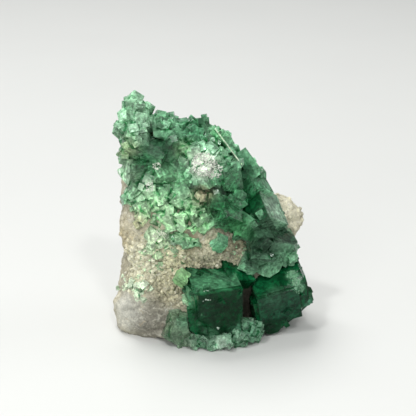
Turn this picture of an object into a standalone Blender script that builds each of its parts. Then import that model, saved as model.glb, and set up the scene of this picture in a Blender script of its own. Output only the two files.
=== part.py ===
"""Green fluorite specimen: a wedge of host rock with a crust of small cubes and large intergrown crystals.

Run with: blender --background --python part.py
Metres, +Z up. X runs to the right and Y away from the viewer of the crystal face.
The origin is the middle of the base. Lengths below are in millimetres and are scaled once, by MM.
"""

import math
import random

import bmesh
import bpy
from mathutils import Euler, Matrix, Vector, noise
from mathutils.bvhtree import BVHTree

MM = 0.001

# Driving dimensions
GAP = 0.35
SEAT_SLACK = 0.2
SEAT_DETAIL = 0.45
ROCK_GRID = 2.9
ROCK_SWELL = 1.0
ROCK_GRAIN = 0.45
ROCK_STEPS = 4
ROCK_BREAK = 3.4
SWELL_LENGTH = 13
GRAIN_LENGTH = 3.1
BREAK_LENGTHS = (17, 11, 14)
FLAT_ANGLE = math.radians(0.3)
HULL_GROWTH = 1.4
SIGHT_START = 80

# A block of air under the floor, which cuts every crystal flat where the specimen stands.
FLOOR = [((0, 3, -10), (60, 50, 10), (0, 0, 0))]

# Corners of the host rock's lumps before they weather: x, y, z.
# They reach below the floor, where the rock is cut flat.
ROCK_MAIN = [
    (-25, -3, -3), (-27, 6, -3), (-24, 16, -3), (-8, 20, -3), (12, 19, -3), (23, 13, -3),
    (19, 4, -3), (12, -7, -3), (0, -11, -3), (-15, -10, -3),
    (-26, 11, 8), (-23, 17, 14), (-4, 21, 12), (16, 20, 12),
    (25, 13, 16), (20, 4, 14), (-24.4, -8.6, 14), (-15, -12, 6), (6, -10, 10),
    (-23.6, -6.6, 26), (-24, -2, 42), (-25, 3, 57), (3, -7, 24), (1, -1, 38), (13, -2, 22),
    (-24, 5, 24), (-25, 7, 40), (-28, 7, 54), (-26, 8, 62),
    (-20, 15, 60), (-22, 18, 40), (-6, 20, 34), (6, 18, 42), (17, 17, 35), (26, 13, 29),
    (25, 8, 31), (-10, 15, 58), (-2, 16, 53), (-23, 8, 65), (-18, 10, 65.4), (-8, 12, 62.4),
    (0, 13, 58), (7, 13, 52), (13, 13, 46), (21, 12, 38.6),
]
ROCK_FOOT = [
    (-30, 2, 4), (-27.6, -5.6, 4), (-24, -3, -3), (-27, 3, -3), (-24.8, -8.6, 13), (-25, 3, 12),
    (-15, -13.2, 6), (-14, -11, -3), (-12, 0, 14), (-12, 0, -3), (-26, 11, 7), (-26, 11, -3),
]
ROCK_SHOULDER = [
    (18, 6, 36), (25, 6, 31), (27, 9, 34), (26.5, 13, 29), (24, 14, 38), (20, 10, 41),
    (21, 7, 27), (26, 13, 25), (16, 14, 34),
]


def remove_everything():
    """Empties the file, so that only the specimen is left at the end."""
    for obj in list(bpy.data.objects):
        bpy.data.objects.remove(obj)


def new_object(name, bm):
    """Makes an object of a bmesh whose points are in millimetres."""
    bm.transform(Matrix.Scale(MM, 4))
    mesh = bpy.data.meshes.new(name)
    bm.to_mesh(mesh)
    bm.free()
    obj = bpy.data.objects.new(name, mesh)
    bpy.context.scene.collection.objects.link(obj)
    return obj


def bmesh_of(obj):
    """The object's mesh as a bmesh in millimetres."""
    bm = bmesh.new()
    bm.from_mesh(obj.data)
    bm.transform(Matrix.Scale(1 / MM, 4))
    return bm


def store(obj, bm):
    """Puts a bmesh in millimetres back into the object."""
    bm.transform(Matrix.Scale(MM, 4))
    bm.to_mesh(obj.data)
    bm.free()


def face_outward(bm):
    """Turns every face of a closed body outward."""
    bmesh.ops.recalc_face_normals(bm, faces=bm.faces)
    if bm.calc_volume(signed=True) < 0:
        bmesh.ops.reverse_faces(bm, faces=bm.faces)


def apply_modifiers(obj):
    """Replaces the object's mesh by the mesh that its modifiers make."""
    bpy.context.view_layer.update()
    graph = bpy.context.evaluated_depsgraph_get()
    made = bpy.data.meshes.new_from_object(obj.evaluated_get(graph))
    obj.modifiers.clear()
    obj.data = made


def split_into_triangles(obj):
    """Splits every face, because a cut goes wrong on a face that is slightly out of plane."""
    bm = bmesh_of(obj)
    bmesh.ops.triangulate(bm, faces=bm.faces)
    store(obj, bm)


def boolean(obj, other, operation, own_crossings=False, keep_other=False):
    """Joins or cuts obj with other, then removes other unless it is kept."""
    split_into_triangles(obj)
    split_into_triangles(other)
    modifier = obj.modifiers.new(operation, "BOOLEAN")
    modifier.operation = operation
    modifier.solver = "EXACT"
    modifier.use_self = own_crossings
    modifier.object = other
    apply_modifiers(obj)
    if not keep_other:
        bpy.data.objects.remove(other)


def join_flat_faces(obj):
    """Joins the triangles that lie in one plane again."""
    bm = bmesh_of(obj)
    flat = {"angle_limit": FLAT_ANGLE, "verts": bm.verts, "edges": bm.edges}
    bmesh.ops.dissolve_limit(bm, use_dissolve_boundaries=False, **flat)
    store(obj, bm)


def keep_largest_body(obj):
    """Deletes the crumbs that a cut leaves beside the main body."""
    bm = bmesh_of(obj)
    bm.verts.ensure_lookup_table()
    unseen = set(bm.verts)
    bodies = []
    while unseen:
        stack = [unseen.pop()]
        body = set(stack)
        while stack:
            for edge in stack.pop().link_edges:
                for vert in edge.verts:
                    if vert not in body:
                        body.add(vert)
                        stack.append(vert)
        unseen -= body
        bodies.append(body)
    main_body = max(bodies, key=len)
    crumbs = [vert for vert in bm.verts if vert not in main_body]
    bmesh.ops.delete(bm, geom=crumbs, context="VERTS")
    store(obj, bm)


def add_hull(bm, corners):
    """Adds the convex body that these corners span."""
    verts = [bm.verts.new(corner) for corner in corners]
    made = bmesh.ops.convex_hull(bm, input=verts)
    inner = {v for v in made["geom_interior"] if isinstance(v, bmesh.types.BMVert)}
    bmesh.ops.delete(bm, geom=list(inner), context="VERTS")


def add_block(bm, block, grow):
    """Adds one crystal: a box turned by its Euler angles, with each face moved out by grow.

    A block may end with a list of cleaved corners, each the signs of the corner and the depth of the cut.
    """
    centre, half, turn, *cleaved = block
    rotation = Euler([math.radians(angle) for angle in turn]).to_matrix()
    size = [2 * (side + grow) for side in half]
    place = Matrix.Translation(centre) @ rotation.to_4x4() @ Matrix.Diagonal((*size, 1))
    crystal = bmesh.new()
    bmesh.ops.create_cube(crystal, size=1, matrix=place)
    for signs, depth in cleaved[0] if cleaved else []:
        outward = Vector(signs).normalized()
        corner = Vector([side * sign for side, sign in zip(half, signs)])
        on_plane = Vector(centre) + rotation @ (corner - outward * (depth - grow))
        whole = crystal.verts[:] + crystal.edges[:] + crystal.faces[:]
        facing_out = rotation @ outward
        plane = {"plane_co": on_plane, "plane_no": facing_out, "clear_outer": True}
        cut = bmesh.ops.bisect_plane(crystal, geom=whole, **plane)
        rim = [edge for edge in cut["geom_cut"] if isinstance(edge, bmesh.types.BMEdge)]
        bmesh.ops.edgeloop_fill(crystal, edges=rim)
    face_outward(crystal)
    mesh = bpy.data.meshes.new("crystal")
    crystal.to_mesh(mesh)
    crystal.free()
    bm.from_mesh(mesh)
    bpy.data.meshes.remove(mesh)


def weathered(point):
    """How far the rock's surface stands out at a point, in millimetres: swells, grains and broken steps."""
    swell = noise.fractal(point / SWELL_LENGTH, 1.0, 2.0, 3) * ROCK_SWELL
    grain = noise.noise(point / GRAIN_LENGTH + Vector((7, 3, 1))) * ROCK_GRAIN
    broken = Vector([along / length for along, length in zip(point, BREAK_LENGTHS)])
    break_height = noise.noise(broken + Vector((2, 5, 4)))
    return swell + grain + round(break_height * ROCK_STEPS) / ROCK_STEPS * ROCK_BREAK


def host_rock():
    """The host rock: broken lumps with one weathered surface and a flat base."""
    bm = bmesh.new()
    for corners in (ROCK_MAIN, ROCK_FOOT, ROCK_SHOULDER):
        add_hull(bm, corners)
    rock = new_object("matrix", bm)
    remesh = rock.modifiers.new("even_grid", "REMESH")
    remesh.mode = "VOXEL"
    remesh.voxel_size = ROCK_GRID * MM
    smooth = rock.modifiers.new("worn", "SMOOTH")
    smooth.iterations = 1
    apply_modifiers(rock)
    bm = bmesh_of(rock)
    bm.normal_update()
    moves = [vert.normal * weathered(vert.co) for vert in bm.verts]
    for vert, move in zip(bm.verts, moves):
        vert.co += move
    whole = bm.verts[:] + bm.edges[:] + bm.faces[:]
    floor = {"plane_co": (0, 0, 0), "plane_no": (0, 0, 1), "clear_inner": True}
    cut = bmesh.ops.bisect_plane(bm, geom=whole, **floor)
    rim = [edge for edge in cut["geom_cut"] if isinstance(edge, bmesh.types.BMEdge)]
    bmesh.ops.edgeloop_fill(bm, edges=rim)
    face_outward(bm)
    store(rock, bm)
    return rock


def swollen_copy(obj, amount):
    """A copy of the object with its surface moved out, used to cut a seat with a gap."""
    bm = bmesh_of(obj)
    bm.normal_update()
    moves = [vert.normal * amount for vert in bm.verts]
    for vert, move in zip(bm.verts, moves):
        vert.co += move
    return new_object(obj.name + "_cutter", bm)


def seat_cutter(rock):
    """A coarser and slightly larger copy of the rock, which gives every crystal its seat."""
    cutter = swollen_copy(rock, GAP + SEAT_SLACK)
    coarser = cutter.modifiers.new("coarser", "DECIMATE")
    coarser.ratio = SEAT_DETAIL
    apply_modifiers(cutter)
    return cutter


def surface_of(obj):
    """A lookup tree of the object's surface, in millimetres."""
    bm = bmesh_of(obj)
    tree = BVHTree.FromBMesh(bm)
    bm.free()
    return tree


def hull_tree(corners):
    """A lookup tree of the convex body that these corners span."""
    bm = bmesh.new()
    add_hull(bm, corners)
    tree = BVHTree.FromBMesh(bm)
    bm.free()
    return tree


def near(one, other):
    """Whether the boxes of two objects meet."""
    boxes = []
    for obj in (one, other):
        points = [vert.co for vert in obj.data.vertices]
        boxes.append([(min(p[i] for p in points), max(p[i] for p in points)) for i in range(3)])
    reach = 2 * GAP * MM
    return all(a[0] < b[1] + reach and b[0] < a[1] + reach for a, b in zip(*boxes))


def facing(normal, along):
    """Euler angles in degrees of a block whose local X is the normal and whose local Y runs along."""
    x_axis = Vector(normal).normalized()
    y_axis = Vector(along)
    y_axis = (y_axis - x_axis * y_axis.dot(x_axis)).normalized()
    z_axis = x_axis.cross(y_axis)
    turn = Matrix((x_axis, y_axis, z_axis)).transposed().to_euler()
    return [math.degrees(angle) for angle in turn]


def carpet(tree, centre, radii, spacing, halves, seed, view=(0, 0), sink=0.25, lean=0.0):
    """Small cubes scattered over a surface, inside an ellipse as a viewer sees it.

    view is the viewer's azimuth and elevation in degrees, and 0, 0 looks along +Y; centre is a point on
    the viewer's line of sight; halves is the range of a cube's half side; sink is the share of it by
    which a cube's centre lies under the surface; lean turns the ellipse in the viewer's picture.
    """
    draw = random.Random(seed)
    azimuth, elevation, roll = (math.radians(angle) for angle in (*view, lean))
    right = Vector((math.cos(azimuth), math.sin(azimuth), 0))
    ahead = Vector((-math.sin(azimuth), math.cos(azimuth), 0)) * math.cos(elevation)
    ahead.z = -math.sin(elevation)
    upward = right.cross(ahead)
    across = right * math.cos(roll) + upward * math.sin(roll)
    upright = upward * math.cos(roll) - right * math.sin(roll)
    blocks = []
    columns = int(2 * radii[0] / spacing) + 1
    rows = int(2 * radii[1] / spacing) + 1
    for row in range(rows):
        for column in range(columns):
            u = (column + 0.5 * (row % 2)) * spacing - radii[0] + draw.uniform(-0.3, 0.3) * spacing
            w = row * spacing - radii[1] + draw.uniform(-0.3, 0.3) * spacing
            half = draw.uniform(*halves)
            turn = [draw.uniform(0, 90) for _ in range(3)]
            if (u / radii[0]) ** 2 + (w / radii[1]) ** 2 > 1:
                continue
            start = Vector(centre) + across * u + upright * w - ahead * SIGHT_START
            spot, normal, _, _ = tree.ray_cast(start, ahead)
            if spot is not None:
                blocks.append((spot - normal * half * sink, (half, half, half), turn))
    return blocks


def grown_crystals(name, blocks, bodies=(), grow=0.0):
    """One solid of crystals that grew together: every block and every body under them, made one."""
    bm = bmesh.new()
    for block in blocks[1:]:
        add_block(bm, block, grow)
    for corners in bodies:
        middle = sum((Vector(corner) for corner in corners), Vector()) / len(corners)
        outward = [(Vector(corner) - middle).normalized() for corner in corners]
        add_hull(bm, [Vector(c) + out * grow * HULL_GROWTH for c, out in zip(corners, outward)])
    cluster = new_object(name, bm)
    bm = bmesh.new()
    add_block(bm, blocks[0], grow)
    boolean(cluster, new_object("first_block", bm), "UNION", own_crossings=True)
    return cluster


# Colour and roughness of each node.
MATERIALS = {
    "matrix": ((0.56, 0.50, 0.42), 0.9),
    "large_left_crystal": ((0.010, 0.110, 0.055), 0.12),
    "large_right_crystal": ((0.012, 0.120, 0.060), 0.14),
    "corner_crystal": ((0.260, 0.380, 0.260), 0.45),
    "foot_crystals": ((0.140, 0.310, 0.200), 0.35),
    "single_cube": ((0.230, 0.500, 0.320), 0.22),
    "lozenge_crystal": ((0.270, 0.500, 0.320), 0.35),
    "crystal_crust": ((0.150, 0.380, 0.240), 0.30),
}

# Large crystals, each a few blocks in one lattice: centre, half sides, turn, cleaved corners.
LEFT_TURN = (10, -3, 15)
RIGHT_TURN = (20.5, -13, 10)
FACET_TURN = facing((0.753, -0.200, 0.627), (0.307, -0.736, -0.603))
PLATE_TURN = facing((-0.70, -0.50, -0.35), (7.7, -4.0, -10.0))

LARGE_LEFT = [
    ((0.9, -10.7, 12.8), (6.8, 7.0, 7.7), LEFT_TURN, [((-1, -1, -1), 4.4), ((1, -1, -1), 3.2)]),
    ((0.2, -9.4, 14.0), (7.0, 7.0, 7.1), LEFT_TURN, [((-1, -1, 1), 2.6)]),
    ((-1.2, -10.3, 12.9), (5.4, 6.4, 6.6), (7, -10, 26), [((-1, -1, -1), 3.2), ((-1, -1, 1), 1.2)]),
    ((0.6, -9.8, 7.8), (7.6, 6.0, 4.6), (2, -8, 4), [((-1, -1, -1), 2.2)]),
    ((6.4, -5.4, 18.4), (4.4, 4.4, 4.4), (34, 12, 28)),
]
LARGE_RIGHT = [
    ((19.9, -1.6, 13.8), (7.5, 8.0, 6.2), RIGHT_TURN, [((1, -1, -1), 2.6), ((1, -1, 1), 1.4)]),
    ((18.8, -2.6, 12.6), (6.4, 7.8, 6.2), RIGHT_TURN, [((-1, -1, -1), 1.8)]),
    ((21.0, -0.4, 14.8), (6.8, 7.6, 5.8), RIGHT_TURN, [((1, -1, 1), 1.0)]),
    ((18.6, -2.2, 8.0), (6.6, 6.6, 6.0), (6, -14, 12), [((1, -1, -1), 4.4), ((-1, -1, -1), 1.6)]),
    ((21.6, -2.6, 6.8), (5.2, 4.0, 3.2), (-4, -32, 20), [((1, -1, -1), 1.2)]),
    ((27.3, 1.6, 8.4), (2.9, 2.9, 2.0), (6, -24, 40)),
]
FACET_CRYSTAL = [
    ((13.1, 1.0, 35.1), (7.0, 5.4, 5.5), FACET_TURN),
    ((11.4, 2.4, 35.6), (7.2, 5.0, 5.0), FACET_TURN, [((1, -1, -1), 1.2)]),
    ((14.6, 3.4, 31.6), (6.0, 4.4, 6.4), FACET_TURN),
    ((4.9, 6.2, 53.4), (0.6, 6.8, 4.8), PLATE_TURN),
    ((9.0, 6.4, 48.5), (3.4, 4.6, 4.6), PLATE_TURN, [((1, 1, 1), 1.4)]),
    ((11.0, 4.0, 43.0), (4.2, 5.0, 5.0), (32, 24, 40)),
]
SHELF = [
    ((4.8, -5.2, 38.2), (3.2, 3.2, 3.2), (38, 28, 20)),
    ((9.8, -4.6, 34.8), (3.3, 3.3, 3.3), (15, 35, 50), [((-1, -1, 1), 1.0)]),
    ((1.6, -4.4, 41.6), (2.4, 2.4, 2.4), (60, 20, 10)),
    ((14.2, -4.2, 31.0), (2.8, 2.8, 2.8), (30, 10, 25)),
    ((7.2, -3.0, 42.5), (2.6, 2.6, 2.6), (20, 50, 15)),
]
SIDE = [
    ((19.2, 0.6, 26.0), (4.7, 5.2, 4.9), (18, 20, 24), [((1, -1, 1), 1.4)]),
    ((14.2, -3.6, 24.6), (3.6, 3.6, 3.6), (40, 15, 10)),
    ((15.4, -6.0, 30.2), (1.9, 1.9, 1.9), (25, 40, 45)),
    ((20.8, 3.2, 22.8), (3.6, 3.6, 3.6), (5, 30, 55)),
    ((10.8, -6.0, 22.6), (2.6, 2.6, 2.6), (30, 30, 5)),
    ((17.0, -4.0, 21.6), (2.8, 2.8, 2.8), (10, 25, 40)),
]
CORNER = [
    ((-9.4, -13.2, 5.0), (3.6, 3.4, 4.2), (8, 14, 20), [((1, -1, 1), 2.0), ((-1, -1, -1), 2.0)]),
    ((-11.0, -12.4, 4.6), (3.0, 3.2, 3.4), (-12, 28, 10), [((-1, -1, 1), 1.2)]),
    ((-8.0, -12.8, 3.6), (2.6, 3.0, 3.2), (20, -14, 35)),
]
FOOT = [
    ((-3.4, -15.0, 2.6), (2.8, 2.4, 1.7), (12, 16, 4), [((-1, -1, 1), 0.8)]),
    ((0.2, -15.8, 1.9), (2.6, 2.2, 1.5), (-14, -6, 22), [((1, -1, 1), 0.9)]),
    ((3.8, -16.2, 2.6), (2.7, 2.1, 1.9), (-14, -14, -12), [((1, -1, 1), 0.8)]),
    ((7.8, -14.6, 3.0), (2.2, 2.2, 2.3), (20, 24, 14), [((-1, -1, 1), 0.8)]),
    ((9.6, -13.2, 5.0), (1.5, 1.6, 2.9), (4, 16, 30), [((-1, -1, 1), 1.2)]),
    ((-6.8, -14.0, 2.8), (1.8, 2.0, 1.9), (35, 10, 30)),
    ((12.2, -11.6, 3.6), (2.2, 2.4, 2.6), (-10, 22, 30)),
]
SINGLE_CUBE = [((2.4, -7.4, 30.3), (1.85, 1.85, 1.85), (28, 30, 12))]
LOZENGE = [
    ((-8.8, -11.2, 20.8), (1.75, 1.75, 1.75), (45, 36, 4)),
    ((-8.8, -10.6, 19.7), (1.6, 1.6, 1.6), (45, 36, 4)),
]
CENTRE_CUBE = ((5.3, -3.4, 50.0), (2.7, 2.7, 4.2), (8, -12, 24), [((-1, -1, -1), 1.2)])
PEAK_CUBE = ((-22.6, 5.0, 70.6), (1.8, 1.8, 1.8), (45, 35, 10))
HOLLOW_BLOCKS = [
    ((-17.5, 1.5, 54.5), (4.6, 3.4, 4.0), (24, 18, -22)),
    ((-11.0, 2.5, 56.5), (4.2, 3.4, 3.6), (10, 28, 12)),
    ((-22.6, 0.0, 50.4), (3.0, 3.0, 3.6), (14, 8, 30)),
    ((-23.8, 1.0, 55.6), (2.6, 2.8, 3.2), (20, 22, 10)),
    ((-14.0, -1.0, 49.5), (2.8, 2.8, 2.8), (40, 22, 18)),
]

# Bodies under the clusters of small crystals: corners x, y, z.
CROWN_BODY = [
    (-22.6, 5, 72.4), (-25.8, 3.5, 69), (-18.4, 7.5, 68), (-27, 2, 62), (-23, -1, 57.5),
    (-18, -0.6, 57.5), (-20, 0, 66), (-25.4, 0, 66.5), (-27, 8, 60), (-18, 9, 60),
    (-24, 11, 66.5), (-20, 11, 66.5),
]
RIDGE_BODY = [
    (-18, 7, 65.8), (-8, 9.5, 63.4), (-1, 10, 62.2), (4.4, 10, 59), (8.4, 11, 53.6), (-17, 0.5, 60.6),
    (-7, 2, 59.6), (1, 3.5, 57.4), (5.6, 6, 52.6), (-17, 12, 63), (-8, 13, 61.6), (3, 13, 57),
    (8.4, 13, 50),
]
CRUST_BODY = [
    (-26.4, 1.4, 58), (-10, 1.6, 58.6), (0, 2.4, 55.6), (-24.4, -2.2, 46), (-22, -4.6, 37),
    (-17, -7.4, 31.4), (-8, -8.2, 29.4), (1, -6.4, 33), (4.6, -4.4, 39), (4, -1.6, 48),
    (-26.6, 8, 58), (0, 10, 56), (5, 6, 44), (-22, 4, 38), (-8, 0, 29.6), (2, 2, 33),
]
CENTRE_BODY = [
    (-8.4, -2, 56), (-3, -2.6, 58.6), (2.6, -2, 57.2), (4.6, -3, 53), (2.8, -4.6, 47.8),
    (-3, -5.6, 47.2), (-7.4, -4.6, 51), (-7, 4, 56), (3, 6, 56), (4, 4, 49), (-5, 4, 48),
    (-2, -7.0, 53),
]


def crown_blocks():
    """Small cubes all round the peak."""
    tree = hull_tree(CROWN_BODY)
    blocks = carpet(tree, (-22.8, 4, 66), (6.2, 8), 2.9, (1.2, 2.1), 11, sink=0.5)
    blocks += carpet(tree, (-23, 4, 65), (6, 7), 3.6, (1.2, 2.0), 12, view=(-80, 10), sink=0.5)
    blocks += carpet(tree, (-22, 6, 65), (5, 6), 3.6, (1.2, 2.0), 13, view=(160, 20), sink=0.5)
    return blocks + [PEAK_CUBE]


def ridge_blocks():
    """Small cubes along the slanting top edge, in front and on top."""
    tree = hull_tree(RIDGE_BODY)
    blocks = carpet(tree, (-4, 6, 60), (15, 5), 3.3, (1.1, 2.1), 21, sink=0.35, lean=-22)
    blocks += carpet(tree, (-4, 8, 60), (14, 5), 3.7, (1.1, 2.0), 22, view=(10, 60), sink=0.4, lean=-15)
    return blocks


def centre_blocks():
    """Small cubes over the lump in the middle of the face, and the taller one at its right."""
    tree = hull_tree(CENTRE_BODY)
    blocks = carpet(tree, (-2, -4, 53), (8, 6.5), 3.0, (1.2, 2.2), 31, view=(0, 15), sink=0.35, lean=-20)
    return blocks + [CENTRE_CUBE]


def crust_blocks():
    """The carpet of small cubes over the left and middle of the face, and the blocks in the hollow."""
    tree = hull_tree(CRUST_BODY)
    blocks = carpet(tree, (-12, -4, 38), (15, 9.5), 3.2, (1.1, 2.2), 41, lean=-8)
    blocks += carpet(tree, (-22, -2, 50), (4, 9), 3.6, (1.2, 2.2), 42)
    return blocks + HOLLOW_BLOCKS


def centre_over_base(objects):
    """Moves the whole specimen sideways until the middle of its bounding box stands over the origin."""
    points = [vert.co for obj in objects for vert in obj.data.vertices]
    middle = [(min(p[axis] for p in points) + max(p[axis] for p in points)) / 2 for axis in (0, 1)]
    for obj in objects:
        obj.data.transform(Matrix.Translation((-middle[0], -middle[1], 0)))


def give_material(obj):
    """Gives the object a plain material of its own, from the table MATERIALS."""
    colour, roughness = MATERIALS[obj.name]
    material = bpy.data.materials.new(obj.name)
    material.use_nodes = True
    surface = material.node_tree.nodes["Principled BSDF"]
    surface.inputs["Base Color"].default_value = (*colour, 1)
    surface.inputs["Roughness"].default_value = roughness
    surface.inputs["Metallic"].default_value = 0.0
    obj.data.materials.clear()
    obj.data.materials.append(material)


def build():
    """Makes every node. Each is cut to fit the rock and the nodes made before it."""
    remove_everything()
    rock = host_rock()
    rock_cutter = seat_cutter(rock)
    grains = carpet(surface_of(rock), (-10, -8, 20), (16, 9), 4.6, (1.2, 2.0), 51, sink=0.45, lean=12)
    crust = FACET_CRYSTAL + SHELF + SIDE + crown_blocks() + ridge_blocks() + centre_blocks() + crust_blocks()
    clusters = [
        ("large_left_crystal", LARGE_LEFT, ()),
        ("large_right_crystal", LARGE_RIGHT, ()),
        ("corner_crystal", CORNER, ()),
        ("foot_crystals", FOOT, ()),
        ("single_cube", SINGLE_CUBE, ()),
        ("lozenge_crystal", LOZENGE, ()),
        ("crystal_crust", crust, (CROWN_BODY, RIDGE_BODY, CENTRE_BODY, CRUST_BODY)),
    ]
    made = [(grains, (), grown_crystals("quartz_grains", grains))]
    for name, blocks, bodies in clusters:
        crystals = grown_crystals(name, blocks, bodies)
        boolean(crystals, rock_cutter, "DIFFERENCE", keep_other=True)
        boolean(crystals, grown_crystals("floor_cutter", FLOOR), "DIFFERENCE")
        for other_blocks, other_bodies, other in made:
            if near(crystals, other):
                cutter = grown_crystals("cutter", other_blocks, other_bodies, grow=GAP)
                boolean(crystals, cutter, "DIFFERENCE")
        keep_largest_body(crystals)
        join_flat_faces(crystals)
        made.append((blocks, bodies, crystals))
    bpy.data.objects.remove(rock_cutter)
    boolean(rock, bpy.data.objects["quartz_grains"], "UNION")
    keep_largest_body(rock)
    join_flat_faces(rock)
    centre_over_base(bpy.data.objects)
    for obj in bpy.data.objects:
        give_material(obj)


build()
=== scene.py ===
"""Fluorite specimen: the fine surface of every piece, the floor, the light and the camera.

Metres, +Z up, X to the right and Y away from the viewer of the crystal face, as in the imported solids.
"""

import math
import random

import bmesh
import bpy
import numpy as np
from mathutils import Matrix, Vector, noise
from mathutils.bvhtree import BVHTree


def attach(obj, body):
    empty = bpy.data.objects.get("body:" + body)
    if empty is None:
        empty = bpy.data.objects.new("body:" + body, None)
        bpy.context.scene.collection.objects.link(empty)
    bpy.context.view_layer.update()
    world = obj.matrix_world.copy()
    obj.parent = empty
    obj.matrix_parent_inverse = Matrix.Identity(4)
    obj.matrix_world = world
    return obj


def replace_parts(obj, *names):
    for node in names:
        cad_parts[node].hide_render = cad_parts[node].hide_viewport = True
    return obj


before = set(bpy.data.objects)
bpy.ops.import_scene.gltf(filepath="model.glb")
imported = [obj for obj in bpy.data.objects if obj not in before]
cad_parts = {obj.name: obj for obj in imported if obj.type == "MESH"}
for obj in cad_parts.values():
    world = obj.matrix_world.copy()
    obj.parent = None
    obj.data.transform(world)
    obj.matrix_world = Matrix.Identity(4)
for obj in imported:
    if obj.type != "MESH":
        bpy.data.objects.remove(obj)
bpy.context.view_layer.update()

MM = 0.001

# The photograph's view: 416 px square, and one pixel is 0.30 mm at the specimen.
PHOTO_SIDE = 416
PIXEL = 0.30 * MM
CAMERA_DISTANCE = 0.380
CAMERA_ELEVATION = math.radians(20)
CAMERA_TARGET = Vector((-1.64, -1.08, 38.5)) * MM
SENSOR = 36
FOCAL = CAMERA_DISTANCE / PIXEL
VIEW_AHEAD = Vector((0, math.cos(CAMERA_ELEVATION), -math.sin(CAMERA_ELEVATION)))
VIEW_UP = Vector((0, math.sin(CAMERA_ELEVATION), math.cos(CAMERA_ELEVATION)))
VIEW_RIGHT = Vector((1, 0, 0))

# Refraction
FLUORITE_IOR = 1.434
QUARTZ_IOR = 1.544

# Host rock: the grain of its mesh, and the height below which it keeps its flat foot, then the change above it
ROCK_VOXEL = 0.50 * MM
ROCK_FOOT = 0.6 * MM
ROCK_FOOT_CHANGE = 1.2 * MM

# Weathering of the rock: length of each kind of relief and how far it stands out, in mm
LUMPS = (5.0, 0.55)
LEDGES = ((9, 5, 2.2), 0.55)
CRACKS = (4.2, 0.45)
CRACK_WIDTH = 0.09
GRIT = (1.1, 0.22)

# Crystal undersides near the rock are pushed into it
EMBED_REACH = 0.95 * MM
EMBED_DEPTH = 1.1 * MM

# Cubes on the crust and chips on the other crystals: how many are tried, and half their side in mm
CUBE_TRIES = 1700
CUBE_HALF = (0.28, 1.30)
CHIP_TRIES = 700
CHIP_HALF = (0.22, 0.90)
CUBE_CLEARANCE = 0.9 * MM

# One cube: share of those parallel to their face, tilt of the others and of all, sides, and rise in half sides
CUBE_ORDER = 0.65
LOOSE_ORDER = 0.3
CUBE_TILT = 0.6
CUBE_WOBBLE = 0.10
CUBE_SIDES = (0.75, 1.3)
CUBE_RISE = (-0.55, 0.15)
LOOSE_SIZES = (0.45, 1.15)

# Quartz grains: most for each square millimetre, their radius in mm on rock and on crystals, their brightness,
# and how far the rock may face to the back where it still bears them
GRAIN_DENSITY = 2.6
GRAIN_RADIUS = (0.32, 0.80)
SUGAR_RADIUS = (0.12, 0.30)
GRAIN_TONES = (0.8, 1.7)
SUGAR_TONES = (0.8, 1.1)
FACING_BACK = 0.3

# One quartz grain: sides, lean, and depth and length against its radius
GRAIN_SIDES = 6
GRAIN_LEAN = 0.45
GRAIN_SINK = 0.6
GRAIN_LENGTH = (0.5, 1.5)

# Crystal faces: the angle within which triangles are one face, and the longest edge that carries colours
FLAT_ANGLE = math.radians(0.4)
FACE_GRID = 1.3 * MM
FACE_ROUNDS = 4

# Colours by place: how fast a place fades, the share of the base, and how whole faces are found and mixed in
PLACE_FALL = 1.6
BASE_SHARE = 0.12
ON_FACE = 0.12 * MM
FACE_SHARE = 0.7

# Painted shade in recesses between crystals: rays that look for a near wall, and the colour by which the
# colour in recesses is multiplied to paint that shade
RECESS_REACH = 2.2 * MM
RECESS_RAYS = 6
RECESS_LIFT = 0.04 * MM
RECESS_SPREAD = 1.2
RECESS_SHADE_TONE = (0.22, 0.52, 0.34, 1)

# Painted highlight along sharp edges, and white specks: the cosines of the turn at which an edge starts and
# ends to take the painted highlight, and the colours
EDGE_FLAT = 0.99
EDGE_SHARP = 0.78
RIM_HIGHLIGHT_TONE = (206, 240, 214)
SPECK_TONE = (236, 244, 228)

# Studio: name of each light, its place and side in metres, and its watts
LIGHTS = [
    ("top_light", (-0.24, 0.38, 0.88), 0.50, 6.8),
    ("front_light", (-0.28, -0.74, 0.38), 0.45, 2.4),
    ("key_light", (-0.20, -0.25, 0.55), 0.06, 1.1),
    ("right_light", (0.70, 0.10, 0.45), 0.40, 0.9),
    ("glint_light", (0.10, -0.40, 0.50), 0.05, 0.8),
]
LIGHT_TARGET = Vector((0, 0, 0.03))
WORLD_TONE = (250, 251, 252)
WORLD_STRENGTH = 0.38
FLOOR_TONE = (208, 209, 206)
FLOOR_RADIUS = 3.0
FLOOR_DROP = 0.02 * MM

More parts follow.
